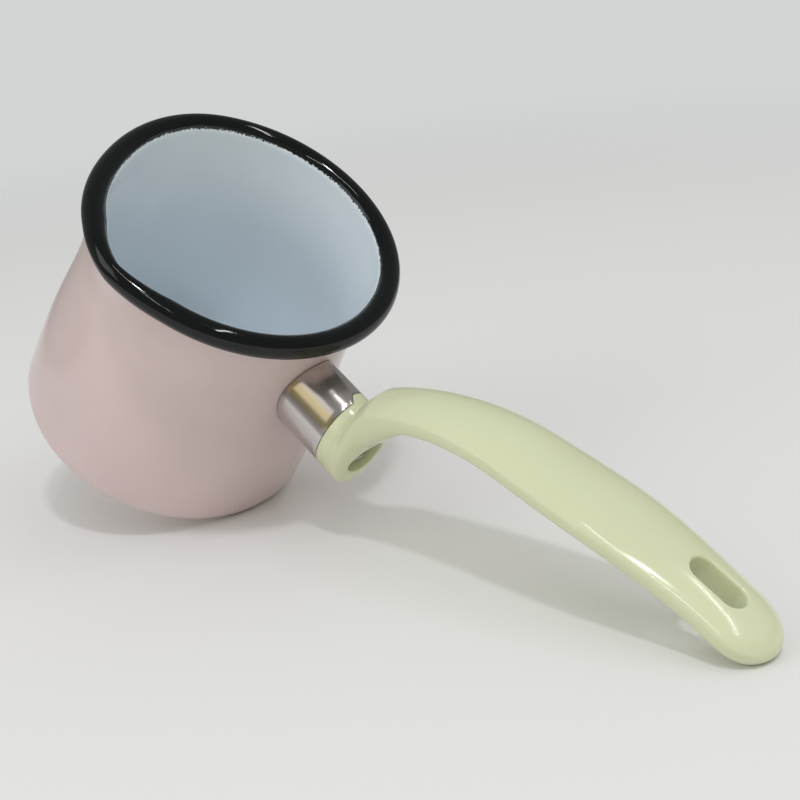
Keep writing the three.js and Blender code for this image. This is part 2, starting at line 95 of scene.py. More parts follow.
FERRULE_HEIGHT = 49.3
FERRULE_TILT = 3.0
FERRULE_LENGTH = 14.9
FERRULE_HALF = np.array([8.5, 11.2])
FERRULE_WALL = 1.0
COPE_GAP = 0.3
SLIDE_GAP = 0.3
SCREW_DROP = 0.8
FLANGE_START = 15.0
FLANGE_END = 17.3
FLANGE_HALF = FERRULE_HALF + 0.1
PLUG_START = 11.8
PLUG_HALF = FERRULE_HALF - FERRULE_WALL - SLIDE_GAP
KEY_LENGTH = 2.0
KEY_TIP_HALF = 1.5
KEY_FLARE = math.tan(math.radians(37))
KEY_OFFSET = 1.8
BOSS_HALF = FERRULE_HALF
BOSS_FRONT = 24.3
FRONT_TILT = math.tan(math.radians(5))
FRONT_RISE = 6.3
COUNTERBORE_RADIUS = 5.25
COUNTERBORE_FLOOR = 19.2
SCREW_HOLE_RADIUS = 2.4
SCREW_RADIUS = 2.0
SCREW_END = 5.6
SCREW_POINT = 0.5
WASHER_START = 19.3
WASHER_END = 20.1
WASHER_RADIUS = 4.6
WASHER_BORE_RADIUS = 2.15
WASHER_EDGE = 0.15
HEAD_START = 20.2
HEAD_EDGE = 21.4
HEAD_TOP = 22.8
HEAD_RADIUS = 4.0
HEAD_CHAMFER = 0.2
HEAD_EDGE_ROUND = 0.08
DRIVE_DEPTH = 1.3
DRIVE_HALF_WIDTH = 0.6
FERRULE_EDGE = 0.2
KEY_EDGE = 0.3

ROOT_SLOPE = 67.0
NECK_SLOPE = 45.7
GRIP_SLOPE = 13.5
ROOT_BEND_RADIUS = 26.0
NECK_BEND_RADIUS = 77.0
GRIP_BEND_RADIUS = 164.0
ROOT_BEND_LENGTH = ROOT_BEND_RADIUS * math.radians(ROOT_SLOPE - NECK_SLOPE)
NECK_BEND_LENGTH = NECK_BEND_RADIUS * math.radians(NECK_SLOPE - GRIP_SLOPE)
STRAIGHT_LENGTH = 20.5
GRIP_BEND_LENGTH = 47.6
GRIP_START = ROOT_BEND_LENGTH + NECK_BEND_LENGTH
GRIP_MIDDLE = GRIP_START + STRAIGHT_LENGTH
ARM_LENGTH = GRIP_MIDDLE + GRIP_BEND_LENGTH
NECK_WIDTH = 19.0
GRIP_WIDTH = 23.4
TIP_WIDTH = 19.1
TIP_ROUND_LENGTH = 11.0
TIP_EDGE_LENGTH = 6.0
NECK_DEPTH = 8.7
NECK_TAPER_LENGTH = 11.7
GRIP_DEPTH = 5.8
NECK_CROWN = 2.6
GRIP_CROWN = 2.4
RIDGE_DROP = 0.9
CROWN_POWER = 1.6
UNDER_SQUARENESS = 3.5
SLOT_LENGTH = 14.0
SLOT_WIDTH = 6.4
SLOT_END_WALL = 11.0

# Ridge, crown power and squareness of a plain oval section
OVAL_SECTION = (0.5, 1.0, 2.0)

# Rounded edges, as steps along and growth outward
FLANGE_EDGE = [(0.0, 0.4), (0.06, 0.2), (0.18, 0.07), (0.4, 0.0), (1.4, 0.0)]
MOUTH_EDGE = [(0.3, 0.75), (-0.02, 0.34), (-0.12, 0.15), (-0.3, 0.03), (-0.6, 0.0)]
SLOT_EDGE = [(0.3, 0.95), (-0.05, 0.5), (-0.22, 0.24), (-0.52, 0.06), (-0.9, 0.0)]
OVERCUT = 3
PROBE_HEIGHT = 120

# How finely the handle side is drawn
OVAL_TURNS = 144
PLUG_TURNS = 96
MOUTH_TURNS = 96
SLOT_TURNS = 96
SCREW_TURNS = 64
NECK_ROWS_LENGTH = 20
RING_POINTS = 128
RIDGE_SOFTENING = 1
HEEL_ROWS = 160
NECK_ROWS = 50
GRIP_ROWS = 96
TIP_ROWS = 26
KEEL_SOFTENING = 80
GROOVE_SHARE = 0.09
GROOVE_HALF_WIDTH = 0.012
GROOVE_DEPTH = 0.16

POT_FRAME = Matrix.Identity(4)


def smoothstep(value, low, high):
    share = np.clip((value - low) / (high - low), 0, 1)
    return share * share * (3 - 2 * share)


def lerp(a, b, share):
    return a + (b - a) * share


# Meshes


def make_object(name, points, faces, place=POT_FRAME):
    """A closed mesh from points in millimetres, moved to its place in the pot's frame."""
    mesh = bpy.data.meshes.new(name)
    mesh.from_pydata([tuple(point) for point in points], [], faces)
    shape = bmesh.new()
    shape.from_mesh(mesh)
    bmesh.ops.remove_doubles(shape, verts=shape.verts, dist=1e-4)
    bmesh.ops.recalc_face_normals(shape, faces=shape.faces)
    bmesh.ops.transform(shape, matrix=Matrix.Scale(MM, 4) @ place, verts=shape.verts)
    shape.to_mesh(mesh)
    shape.free()
    piece = bpy.data.objects.new(name, mesh)
    bpy.context.scene.collection.objects.link(piece)
    return piece


def bake(piece):
    """Puts what the modifiers make into the mesh."""
    bpy.context.view_layer.update()
    made = bpy.data.meshes.new_from_object(piece.evaluated_get(bpy.context.evaluated_depsgraph_get()))
    old = piece.data
    piece.modifiers.clear()
    piece.data = made
    made.name = piece.name
    bpy.data.meshes.remove(old)


def soften(piece, width, segments=2):
    """Rounds the sharp edges by a width in millimetres."""
    bevel = piece.modifiers.new("bevel", "BEVEL")
    bevel.width = width * MM
    bevel.segments = segments
    bevel.limit_method = "ANGLE"
    bevel.angle_limit = math.radians(40)
    bake(piece)


def cut(piece, cutter):
    boolean = piece.modifiers.new("cut", "BOOLEAN")
    boolean.operation = "DIFFERENCE"
    boolean.solver = "EXACT"
    boolean.object = cutter
    bake(piece)
    mesh = cutter.data
    bpy.data.objects.remove(cutter)
    bpy.data.meshes.remove(mesh)


def join(target, *others):
    """Adds the other pieces' meshes to the target."""
    shape = bmesh.new()
    for piece in (target, *others):
        shape.from_mesh(piece.data)
    shape.to_mesh(target.data)
    shape.free()
    for piece in others:
        mesh = piece.data
        bpy.data.objects.remove(piece)
        bpy.data.meshes.remove(mesh)


def grid_faces(columns, rows, closed):
    """Faces between neighbouring columns of points, round a closed turn of columns."""
    faces = []
    for column in range(columns):
        here = column * rows
        beside = (column + 1) % columns * rows
        for row in range(rows if closed else rows - 1):
            after = (row + 1) % rows
            faces.append((here + row, beside + row, beside + after, here + after))
    return faces


# Pot


def spline(nodes, count):
    padded = np.vstack([nodes[0], nodes, nodes[-1]])
    points = []
    for place in np.linspace(0, len(nodes) - 1, count):
        start = min(int(place), len(nodes) - 2)
        share = place - start
        before, first, second, after = padded[start:start + 4]
        go, arrive = (second - before) / 2, (after - first) / 2
        points.append(
            (2 * first - 2 * second + go + arrive) * share ** 3
            + (3 * second - 3 * first - 2 * go - arrive) * share ** 2
            + go * share
            + first
        )
    return np.array(points)


def arc(centre, radius, start, end, count):
    angles = np.radians(np.linspace(start, end, count))
    return np.array(centre) + radius * np.stack([np.cos(angles), np.sin(angles)], -1)


def wall_outline(inset):
    """Radius and height from the middle of the base up to the neck."""
    floor = [(radius, inset) for radius in FLOOR_RADII]
    corner = arc((BASE_RADIUS - BASE_CORNER, BASE_CORNER), BASE_CORNER - inset, -90, 0, CORNER_POINTS)
    side = spline(WALL_NODES, WALL_POINTS)[1:] - (inset, 0)
    return np.vstack([floor, corner, side])


def wall_radius(height):
    side = spline(WALL_NODES, 200)
    return np.interp(height, side[:, 1], side[:, 0])


def press_rim(points):
    """Bends the rim out at the lip and draws it in along the flat beside the lip."""
    x, y, z = points[..., 0], points[..., 1], points[..., 2]
    radius = np.hypot(x, y)
    turn = np.degrees(np.arctan2(x, -y))
    tent = LIP_TENT - np.sqrt((turn / LIP_HALF_ANGLE) ** 2 + LIP_TIP_SOFTENING)
    lip = (tent + np.sqrt(tent ** 2 + LIP_FOOT_SOFTENING)) / 2
    fade = smoothstep(-np.abs(turn), -2 * LIP_HALF_ANGLE, -LIP_FADE_ANGLE)
    lip = np.where(np.abs(turn) < 2 * LIP_HALF_ANGLE, lip * fade, 0)
    flat = 1 - smoothstep(np.abs(turn + FLAT_ANGLE), 0, FLAT_HALF_ANGLE)
    up = smoothstep(z, BEAD_CENTRE[1] - LIP_DEPTH, BEAD_CENTRE[1])
    outward = np.clip((radius - MOUTH_RADIUS) / (2 * BEAD_RADIUS), 0, 1)
    reach = (lerp(LIP_INNER_REACH, LIP_OUTER_REACH, outward) * lip - FLAT_DEPTH * flat) * up
    grow = 1 + reach / np.maximum(radius, 1)
    return np.stack([x * grow, y * grow, z], -1)


def turned(name, outline, closed):
    """A turned form whose outline may change round the axis."""
    turns = np.linspace(0, 2 * math.pi, TURNS, endpoint=False)
    grid = np.array([outline(turn) for turn in turns])
    x = grid[..., 0] * np.cos(turns)[:, None]
    y = grid[..., 0] * np.sin(turns)[:, None]
    points = press_rim(np.stack([x, y, grid[..., 1]], -1))
    return make_object(name, points.reshape(-1, 3), grid_faces(TURNS, grid.shape[1], closed))


def bead_place(along, depth):
    """A point on the rim coat: round the bead up to its innermost point and then down the neck."""
    if along > 0:
        return MOUTH_RADIUS + depth, BEAD_CENTRE[1] - along
    angle = math.pi + along / BEAD_RADIUS
    return tuple(BEAD_CENTRE + (BEAD_RADIUS - depth) * np.array([math.cos(angle), math.sin(angle)]))


def coat_edge(turn):
    """Where the black coat ends inside: a hand-dipped edge that wavers a little."""
    waves = [height * math.sin(count * turn + phase) for height, count, phase in COAT_WAVES]
    return RIM_COAT_END + sum(waves)


def outer_coat():
    face = wall_outline(0)
    back = wall_outline(COAT)[::-1]
    return turned("outer_coat", lambda turn: np.vstack([face, back]), False)


def lining():
    """The white coat, which pools a little thicker in the hollow of the lip."""
    face = wall_outline(WALL_THICKNESS)[::-1]
    back = wall_outline(LINING_INSET)

    def outline(turn):
        neck = np.linspace(coat_edge(turn) + COAT_JOINT, NECK_DROP, 16)[:-1]
        inside = [bead_place(along, 0) for along in neck]
        behind = [bead_place(along, COAT) for along in neck[::-1]]
        front = np.vstack([face[::-1], inside[::-1]])
        rise = smoothstep(front[:, 1], *POOL_RISE) * (1 - smoothstep(front[:, 1], *POOL_FALL))
        front[:, 0] -= LIP_POOL * rise * max(0.0, -math.sin(turn)) ** POOL_SHARPNESS
        return np.vstack([front, behind[::-1], back[::-1]])

    return turned("lining", outline, False)


def rim_coat():
    def outline(turn):
        ring = np.linspace(RIM_COAT_START, coat_edge(turn), 72)
        outside = [bead_place(along, 0) for along in ring]
        behind = [bead_place(along, COAT) for along in ring[::-1]]
        return np.vstack([outside, behind])

    return turned("rim_coat", outline, True)


# Handle side: x runs out along the screw, z rises

HANDLE_PLACE = (
    Matrix.Translation((float(wall_radius(FERRULE_HEIGHT)), 0, FERRULE_HEIGHT - SCREW_DROP))
    @ Matrix.Rotation(math.radians(-FERRULE_TILT), 4, "Y")
)


def wall_start(y, z):
    """How far out the pot's wall lies, with its gap, at a place on the ferrule."""
    x = 0.0
    for _ in range(8):
        point = HANDLE_PLACE @ Vector((x, y, z))
        x += float(wall_radius(point.z)) + COPE_GAP - math.hypot(point.x, point.y)
    return x


def oval_point(half, angle):
    return half[0] * math.cos(angle), half[1] * math.sin(angle) + SCREW_DROP


def shell(name, outer, inner, cells):
    """A wall between two grids of points, present only in the listed cells."""
    columns, rows = outer.shape[:2]
    step = columns * rows

    def spot(column, row):
        return column % columns * rows + row

    faces = []
    for column, row in cells:
        ring = [spot(column, row), spot(column + 1, row), spot(column + 1, row + 1), spot(column, row + 1)]
        faces.append(tuple(ring))
        faces.append(tuple(corner + step for corner in reversed(ring)))
        beside = [(column, row - 1), (column + 1, row), (column, row + 1), (column - 1, row)]
        for side, (next_column, next_row) in enumerate(beside):
            if (next_column % columns, next_row) not in cells:
                first, second = ring[side], ring[(side + 1) % 4]
                faces.append((second, first, first + step, second + step))
    points = np.vstack([outer.reshape(-1, 3), inner.reshape(-1, 3)])
    used = sorted({corner for face in faces for corner in face})
    order = {corner: place for place, corner in enumerate(used)}
    faces = [tuple(order[corner] for corner in face) for face in faces]
    return make_object(name, points[used], faces, HANDLE_PLACE)


def oval_grid(half, angles, stations):
    return np.array([
        [(x, *oval_point(half, angle)) for x in stations(*oval_point(half, angle))]
        for angle in angles
    ])


def key_half_width(x):
    return KEY_TIP_HALF + (x - FERRULE_LENGTH + KEY_LENGTH) * KEY_FLARE


def notch_cutter():
    """The wedge that the key slides into, cut out of the top of the ferrule."""
    start = FERRULE_LENGTH - KEY_LENGTH - SLIDE_GAP
    end = FLANGE_START + FERRULE_WALL
    outline = [(x, KEY_OFFSET + side * (key_half_width(x) + SLIDE_GAP)) for x, side in (
        (start, -1), (end, -1), (end, 1), (start, 1),
    )]
    points = [(x, y, z) for z in (0, 2 * FERRULE_HALF[1]) for x, y in outline]
    faces = [(0, 1, 2, 3), (4, 5, 6, 7)]
    faces += [(side, (side + 1) % 4, (side + 1) % 4 + 4, side + 4) for side in range(4)]
    return make_object("notch", points, faces, HANDLE_PLACE)


def ferrule():
    angles = np.linspace(0, 2 * math.pi, OVAL_TURNS, endpoint=False)

    def stations(y, z):
        return np.linspace(wall_start(y, z), FERRULE_LENGTH, 10)

    outer = oval_grid(FERRULE_HALF, angles, stations)
    inner = oval_grid(FERRULE_HALF - FERRULE_WALL, angles, stations)
    cells = {(column, row) for column in range(len(angles)) for row in range(outer.shape[1] - 1)}
    piece = shell("ferrule_sleeve", outer, inner, cells)
    cut(piece, notch_cutter())
    soften(piece, FERRULE_EDGE)
    return piece


def plug():
    """The spigot inside the ferrule, with the screw's hole."""
    angles = np.linspace(0, 2 * math.pi, PLUG_TURNS, endpoint=False)

    def stations(y, z):
        return [PLUG_START, FLANGE_START + 1]

    outer = oval_grid(PLUG_HALF, angles, stations)
    inner = oval_grid(np.array([SCREW_HOLE_RADIUS] * 2), angles, stations) - (0, 0, SCREW_DROP)
    return shell("plug", outer, inner, {(column, 0) for column in range(len(angles))})


def key():
    """The tooth on the flange's rim that sits in the ferrule's notch."""
    along = np.linspace(FERRULE_LENGTH - KEY_LENGTH, FLANGE_START + 1, 8)
    across = np.linspace(-1, 1, 15)

    def grid(half):
        rows = []
        for side in across:
            y = KEY_OFFSET + side * key_half_width(along)
            rows.append(np.stack([along, y, SCREW_DROP + half[1] * np.sqrt(1 - (y / half[0]) ** 2)], -1))
        return np.array(rows)

    cells = {(column, row) for column in range(len(across) - 1) for row in range(len(along) - 1)}
    piece = shell("key", grid(FLANGE_HALF), grid(PLUG_HALF - 0.1), cells)
    soften(piece, KEY_EDGE, 3)
    return piece


def arm_place(distance):
    """Place and lean of the arm's shoulder line at a distance from the top of the flange."""
    x, z = FLANGE_END, SCREW_DROP + BOSS_HALF[1]
    lean = math.radians(ROOT_SLOPE)
    left = distance
    stretches = (
        (ROOT_BEND_LENGTH, ROOT_BEND_RADIUS),
        (NECK_BEND_LENGTH, NECK_BEND_RADIUS),
        (STRAIGHT_LENGTH, math.inf),
        (GRIP_BEND_LENGTH, GRIP_BEND_RADIUS),
    )
    for length, radius in stretches:
        run = min(left, length)
        turn = run / radius
        chord = 2 * radius * math.sin(turn / 2) if turn > 0 else run
        x += chord * math.cos(lean - turn / 2)
        z += chord * math.sin(lean - turn / 2)
        lean -= turn
        left -= run
    return x, z, lean


def arm_point(distance, above):
    x, z, lean = arm_place(distance)
    return np.array([x - above * math.sin(lean), z + above * math.cos(lean)])


def rounded_end(distance, length):
    inside = max(0.0, 1 - distance / length)
    return math.sqrt(max(0.0, 1 - inside * inside))


def heel_keel(shares):
    """The heel's underside from the flange: along the bottom, up the front and out to the neck."""
    low = SCREW_DROP - BOSS_HALF[1]
    corners = np.array([
        (FLANGE_END, low),
        (BOSS_FRONT + low * FRONT_TILT, low),
        (BOSS_FRONT + FRONT_RISE * FRONT_TILT, FRONT_RISE),
        arm_point(ROOT_BEND_LENGTH, -NECK_DEPTH),
    ])
    along = np.append(0, np.cumsum(np.hypot(*np.diff(corners, axis=0).T)))
    return np.stack([np.interp(shares * along[-1], along, corners[:, axis]) for axis in range(2)], -1)


def arm_section(distance):
    """Crest, keel, width, ridge, power of the crown and squareness of the under half."""
    to_tip = ARM_LENGTH - distance
    crown = lerp(NECK_CROWN, GRIP_CROWN, smoothstep(distance, ROOT_BEND_LENGTH, GRIP_START))
    taper = smoothstep(distance, ROOT_BEND_LENGTH, ROOT_BEND_LENGTH + NECK_TAPER_LENGTH)
    depth = lerp(NECK_DEPTH, GRIP_DEPTH, taper)
    to_grip = lerp(NECK_WIDTH, GRIP_WIDTH, smoothstep(distance, ROOT_BEND_LENGTH, GRIP_MIDDLE))
    width = lerp(to_grip, TIP_WIDTH, smoothstep(distance, GRIP_MIDDLE, ARM_LENGTH - TIP_ROUND_LENGTH))
    middle = (crown - depth) / 2
    half = (crown + depth) / 2 * rounded_end(to_tip, TIP_EDGE_LENGTH)
    return (
        arm_point(distance, middle + half),
        arm_point(distance, middle - half),
        width * rounded_end(to_tip, TIP_ROUND_LENGTH),
        (crown + RIDGE_DROP) / (crown + depth),
        CROWN_POWER,
        UNDER_SQUARENESS,
    )


def ring(crest, keel, width, ridge, power, squareness):
    """Points round a section, evenly spaced from its crest, with its ridges softened."""
    angles = np.linspace(0, 2 * math.pi, 6 * RING_POINTS + 1)
    up, out = np.cos(angles), np.sin(angles)
    bend = np.where(up < 0, 2 / squareness, 1.0)
    side = np.sign(out) * np.abs(out) ** bend * width / 2
    share = np.where(
        up < 0,
        ridge + (1 - ridge) * np.abs(up) ** bend,
        ridge * (1 - np.abs(up) ** power),
    )
    height = np.hypot(*(keel - crest))
    steps = np.hypot(np.diff(side), np.diff(share) * height)
    along = np.append(0, np.cumsum(steps))
    even = np.linspace(0, along[-1], RING_POINTS, endpoint=False)
    pairs = np.stack([np.interp(even, along, side), np.interp(even, along, share)], -1)
    for _ in range(RIDGE_SOFTENING):
        pairs = (np.roll(pairs, 1, 0) + 2 * pairs + np.roll(pairs, -1, 0)) / 4
    places = crest + (keel - crest) * pairs[:, 1:]
    return np.stack([places[:, 0], pairs[:, 0], places[:, 1]], -1)


def flange_rings():
    """The back of the flange, from its middle out over its rounded rim."""
    rings = []
    for step, inset in FLANGE_EDGE:
        half = FLANGE_HALF - inset
        ends = [np.array([FLANGE_START + step, SCREW_DROP + side * half[1]]) for side in (1, -1)]
        rings.append(ring(*ends, 2 * half[0], *OVAL_SECTION))
    return [np.tile(rings[0].mean(0), (RING_POINTS, 1)), *rings]


def body_rings():
    """Sections of the heel and the arm, with a fine groove where the heel leaves the flange."""
    shares = np.linspace(0, 1, HEEL_ROWS, endpoint=False)
    neck = arm_section(ROOT_BEND_LENGTH)
    neck_end = ROOT_BEND_LENGTH + NECK_ROWS_LENGTH
    tip_start = ARM_LENGTH - TIP_ROUND_LENGTH
    distances = np.concatenate([
        np.linspace(ROOT_BEND_LENGTH, neck_end, NECK_ROWS, endpoint=False),
        np.linspace(neck_end, tip_start, GRIP_ROWS, endpoint=False),
        tip_start + TIP_ROUND_LENGTH * np.sin(np.linspace(0, math.pi / 2, TIP_ROWS)),
    ])
    sections = [
        (
            arm_point(share * ROOT_BEND_LENGTH, share * NECK_CROWN), keel,
            *(lerp(first, last, share) for first, last in zip((2 * BOSS_HALF[0], *OVAL_SECTION), neck[2:])),
        )
        for share, keel in zip(shares, heel_keel(shares))
    ]
    sections += [arm_section(distance) for distance in distances]
    keels = np.array([section[1] for section in sections])
    soft = HEEL_ROWS + NECK_ROWS
    for _ in range(KEEL_SOFTENING):
        keels[1:soft] = (keels[:soft - 1] + 2 * keels[1:soft] + keels[2:soft + 1]) / 4
    rings = []
    for place, (section, keel) in enumerate(zip(sections, keels)):
        points = ring(section[0], keel, *section[2:])
        if place < HEEL_ROWS:
            middle = points.mean(0)
            depth = GROOVE_DEPTH * math.exp(-((shares[place] - GROOVE_SHARE) / GROOVE_HALF_WIDTH) ** 2)
            reach = np.linalg.norm(points - middle, axis=1)[:, None]
            points = middle + (points - middle) * (1 - depth / reach)
        rings.append(points)
    return rings


def body():
    rings = np.array([*flange_rings(), *body_rings()]).transpose(1, 0, 2)
    faces = grid_faces(RING_POINTS, rings.shape[1], False)
    return make_object("handle_moulding", rings.reshape(-1, 3), faces, HANDLE_PLACE)


def surface(piece):
    """The piece's faces in the handle's frame, for finding where a cut meets them."""
    shape = bmesh.new()
    shape.from_mesh(piece.data)
    bmesh.ops.transform(shape, matrix=(Matrix.Scale(MM, 4) @ HANDLE_PLACE).inverted(), verts=shape.verts)
    tree = BVHTree.FromBMesh(shape)
    shape.free()
    return tree


def mouth_cutter(tree):
    """The screw's counterbore and hole, with an edge that follows the heel's front."""
    outside = BOSS_FRONT + 4
    inside = FLANGE_START - 1
    columns = []
    for angle in np.linspace(0, 2 * math.pi, MOUTH_TURNS, endpoint=False):
        across = np.array([math.cos(angle), math.sin(angle)])
        column = [(outside, 0, 0), (outside, *(across * (COUNTERBORE_RADIUS + MOUTH_EDGE[0][1])))]
        for step, grow in MOUTH_EDGE:
            y, z = across * (COUNTERBORE_RADIUS + grow)
            hit = tree.ray_cast(Vector((2 * outside, y, z)), Vector((-1, 0, 0)))[0]
            column.append((hit.x + step, y, z))
        column += [(COUNTERBORE_FLOOR, *(across * COUNTERBORE_RADIUS))]
        column += [(x, *(across * SCREW_HOLE_RADIUS)) for x in (COUNTERBORE_FLOOR, inside)]
        columns.append([*column, (inside, 0, 0)])
    grid = np.array(columns)
    faces = grid_faces(len(grid), grid.shape[1], False)
    return make_object("mouth", grid.reshape(-1, 3), faces, HANDLE_PLACE)


def lathe(name, outline, steps):
    """A turned form about the screw's axis, from places along it and radii."""
    angles = np.linspace(0, 2 * math.pi, steps, endpoint=False)
    grid = np.array([
        [(x, radius * math.cos(angle), radius * math.sin(angle)) for x, radius in outline]
        for angle in angles
    ])
    faces = grid_faces(steps, len(outline), False)
    return make_object(name, grid.reshape(-1, 3), faces, HANDLE_PLACE)


def slot_cutter(tree):
    """The hang slot with rounded edges that follow the faces it breaks through."""
    half = SLOT_WIDTH / 2
    run = SLOT_LENGTH / 2 - half
    middle = arm_place(ARM_LENGTH)[0] - SLOT_END_WALL - SLOT_LENGTH / 2
    columns = []
    for angle in np.linspace(-math.pi / 2, 1.5 * math.pi, SLOT_TURNS + 1)[:-1]:
        side = 1 if math.cos(angle) > -1e-9 and angle < math.pi / 2 + 1e-9 else -1
        column = []
        for up in (1, -1):
            rise = []
            for step, grow in SLOT_EDGE:
                x = middle + side * run + (half + grow) * math.cos(angle)
                y = (half + grow) * math.sin(angle)
                hit = tree.ray_cast(Vector((x, y, up * PROBE_HEIGHT)), Vector((0, 0, -up)))[0]
                rise.append((x, y, hit.z + up * step))
            x, y, z = rise[0]
            rise = [(middle, 0, z + up * OVERCUT), (x, y, z + up * OVERCUT), *rise]
            column += rise if up > 0 else rise[::-1]
        columns.append(column)
    grid = np.array(columns)
    grid[:, :2, 2] = grid[:, :2, 2].max()
    grid[:, -2:, 2] = grid[:, -2:, 2].min()
    faces = grid_faces(len(grid), grid.shape[1], False)
    return make_object("slot", grid.reshape(-1, 3), faces, HANDLE_PLACE)


def handle():
    piece = body()
    tree = surface(piece)
    cut(piece, slot_cutter(tree))
    cut(piece, mouth_cutter(tree))
    join(piece, plug(), key())
    return piece


def screw():
    dome = np.radians(np.linspace(0, 90, 10))
    outline = [
        (SCREW_END, 0.0),
        (SCREW_END, SCREW_RADIUS - SCREW_POINT),
        (SCREW_END + SCREW_POINT, SCREW_RADIUS),
        (HEAD_START, SCREW_RADIUS),
        (HEAD_START, HEAD_RADIUS - HEAD_CHAMFER),
        (HEAD_START + HEAD_CHAMFER, HEAD_RADIUS),
    ]
    outline += [
        (HEAD_EDGE + (HEAD_TOP - HEAD_EDGE) * math.sin(angle), HEAD_RADIUS * math.cos(angle))
        for angle in dome
    ]
    piece = lathe("screw", outline, SCREW_TURNS)
    corners = [
        (x, y, z)
        for x in (HEAD_TOP - DRIVE_DEPTH, HEAD_TOP + 2)
        for y in (-HEAD_RADIUS - 2, HEAD_RADIUS + 2)
        for z in (-DRIVE_HALF_WIDTH, DRIVE_HALF_WIDTH)
    ]
    sides = [(0, 1, 3, 2), (4, 6, 7, 5), (0, 4, 5, 1), (2, 3, 7, 6), (0, 2, 6, 4), (1, 5, 7, 3)]
    cut(piece, make_object("drive", corners, sides, HANDLE_PLACE))
    soften(piece, HEAD_EDGE_ROUND)
    return piece


def washer():
    outline = [
        (WASHER_START, WASHER_BORE_RADIUS),
        (WASHER_START, WASHER_RADIUS - WASHER_EDGE),
        (WASHER_START + WASHER_EDGE, WASHER_RADIUS),
        (WASHER_END - WASHER_EDGE, WASHER_RADIUS),
        (WASHER_END, WASHER_RADIUS - WASHER_EDGE),
        (WASHER_END, WASHER_BORE_RADIUS),
        (WASHER_START, WASHER_BORE_RADIUS),
    ]
    return lathe("washer", outline, SCREW_TURNS)


# Materials

SPRAY_LOW = 72.3
SPRAY_HIGH = 74.0
SPRAY_EDGE = (0.95, 1.0)
SPREAD = (0.3, 0.7)
SMOOTH_ANGLE = math.radians(38)


class Paint:
    """A principled material whose detail comes from textures in the object's own space."""

    def __init__(self, name, **values):
        self.material = bpy.data.materials.new(name)
        self.material.use_nodes = True
        self.nodes = self.material.node_tree.nodes
        self.links = self.material.node_tree.links
        self.shader = self.nodes["Principled BSDF"]
        for socket, value in values.items():
            self.shader.inputs[socket.replace("_", " ")].default_value = value
        self.place = self.nodes.new("ShaderNodeTexCoord").outputs["Object"]

    def noise(self, scale, detail=2.0, roughness=0.5, stretch=None):
        place = self.place
        if stretch:
            mapping = self.nodes.new("ShaderNodeMapping")
            mapping.inputs["Scale"].default_value = stretch
            self.links.new(place, mapping.inputs["Vector"])
            place = mapping.outputs["Vector"]
        texture = self.nodes.new("ShaderNodeTexNoise")
        texture.inputs["Scale"].default_value = scale
        texture.inputs["Detail"].default_value = detail
        texture.inputs["Roughness"].default_value = roughness
        self.links.new(place, texture.inputs["Vector"])
        return texture.outputs["Fac"]

    def ramp(self, source, low, high, first, second):
        """Maps a factor between two levels to two colours or two greys."""
        node = self.nodes.new("ShaderNodeValToRGB")
        for stop, level, colour in zip(node.color_ramp.elements, (low, high), (first, second)):
            stop.position = level
            stop.color = (*colour, 1) if isinstance(colour, tuple) else (colour, colour, colour, 1)
        self.links.new(source, node.inputs["Fac"])
        return node.outputs["Color"]

    def mix(self, share, first, second):
        node = self.nodes.new("ShaderNodeMix")
        node.data_type = "RGBA"
        self.links.new(share, node.inputs["Factor"])
        for socket, value in zip(("A", "B"), (first, second)):
            target = [entry for entry in node.inputs if entry.name == socket and entry.type == "RGBA"][0]
            if isinstance(value, tuple):
                target.default_value = (*value, 1)
            else:
                self.links.new(value, target)
        return [entry for entry in node.outputs if entry.type == "RGBA"][0]

    def overspray(self):
        """Specks that thicken towards the rim."""
        parts = self.nodes.new("ShaderNodeSeparateXYZ")
        self.links.new(self.place, parts.inputs["Vector"])
        height = self.nodes.new("ShaderNodeMapRange")
        height.inputs["From Min"].default_value = SPRAY_LOW * MM
        height.inputs["From Max"].default_value = SPRAY_HIGH * MM
        self.links.new(parts.outputs["Z"], height.inputs["Value"])
        total = self.nodes.new("ShaderNodeMath")
        self.links.new(height.outputs["Result"], total.inputs[0])
        self.links.new(self.noise(2200, 2), total.inputs[1])
        return self.ramp(total.outputs["Value"], *SPRAY_EDGE, 0.0, 1.0)

    def colour(self, source):
        self.links.new(source, self.shader.inputs["Base Color"])

    def rough(self, source):
        self.links.new(source, self.shader.inputs["Roughness"])

    def bump(self, source, height, strength):
        node = self.nodes.new("ShaderNodeBump")
        node.inputs["Distance"].default_value = height * MM
        node.inputs["Strength"].default_value = strength
        self.links.new(source, node.inputs["Height"])
        earlier = self.shader.inputs["Normal"].links
        if earlier:
            self.links.new(earlier[0].from_socket, node.inputs["Normal"])
        self.links.new(node.outputs["Normal"], self.shader.inputs["Normal"])


def shade(colour, factor):
    return tuple(channel * factor for channel in colour)


def enamel(name, colour, speck, gloss, cloud=0.05, shine=0.5, spray=None):
    """Fired glass: a mottled colour, pinholes, an even gloss, a faint orange peel and a rim's overspray."""
    paint = Paint(name, IOR=1.52, Specular_IOR_Level=shine)
    mottle = paint.noise(38, 3)
    base = paint.ramp(mottle, *SPREAD, shade(colour, 1 - cloud), shade(colour, 1 + cloud))
    pinholes = paint.ramp(paint.noise(900, 1), 0.78, 0.81, 0.0, 0.5)
    base = paint.mix(pinholes, base, speck)
    if spray:
        base = paint.mix(paint.overspray(), base, spray)
    paint.colour(base)
    paint.rough(paint.ramp(paint.noise(160, 2), *SPREAD, gloss, gloss + 0.05))
    paint.bump(paint.noise(210, 2), 0.04, 0.2)
    paint.bump(paint.noise(30, 1), 0.25, 0.2)
    return paint.material


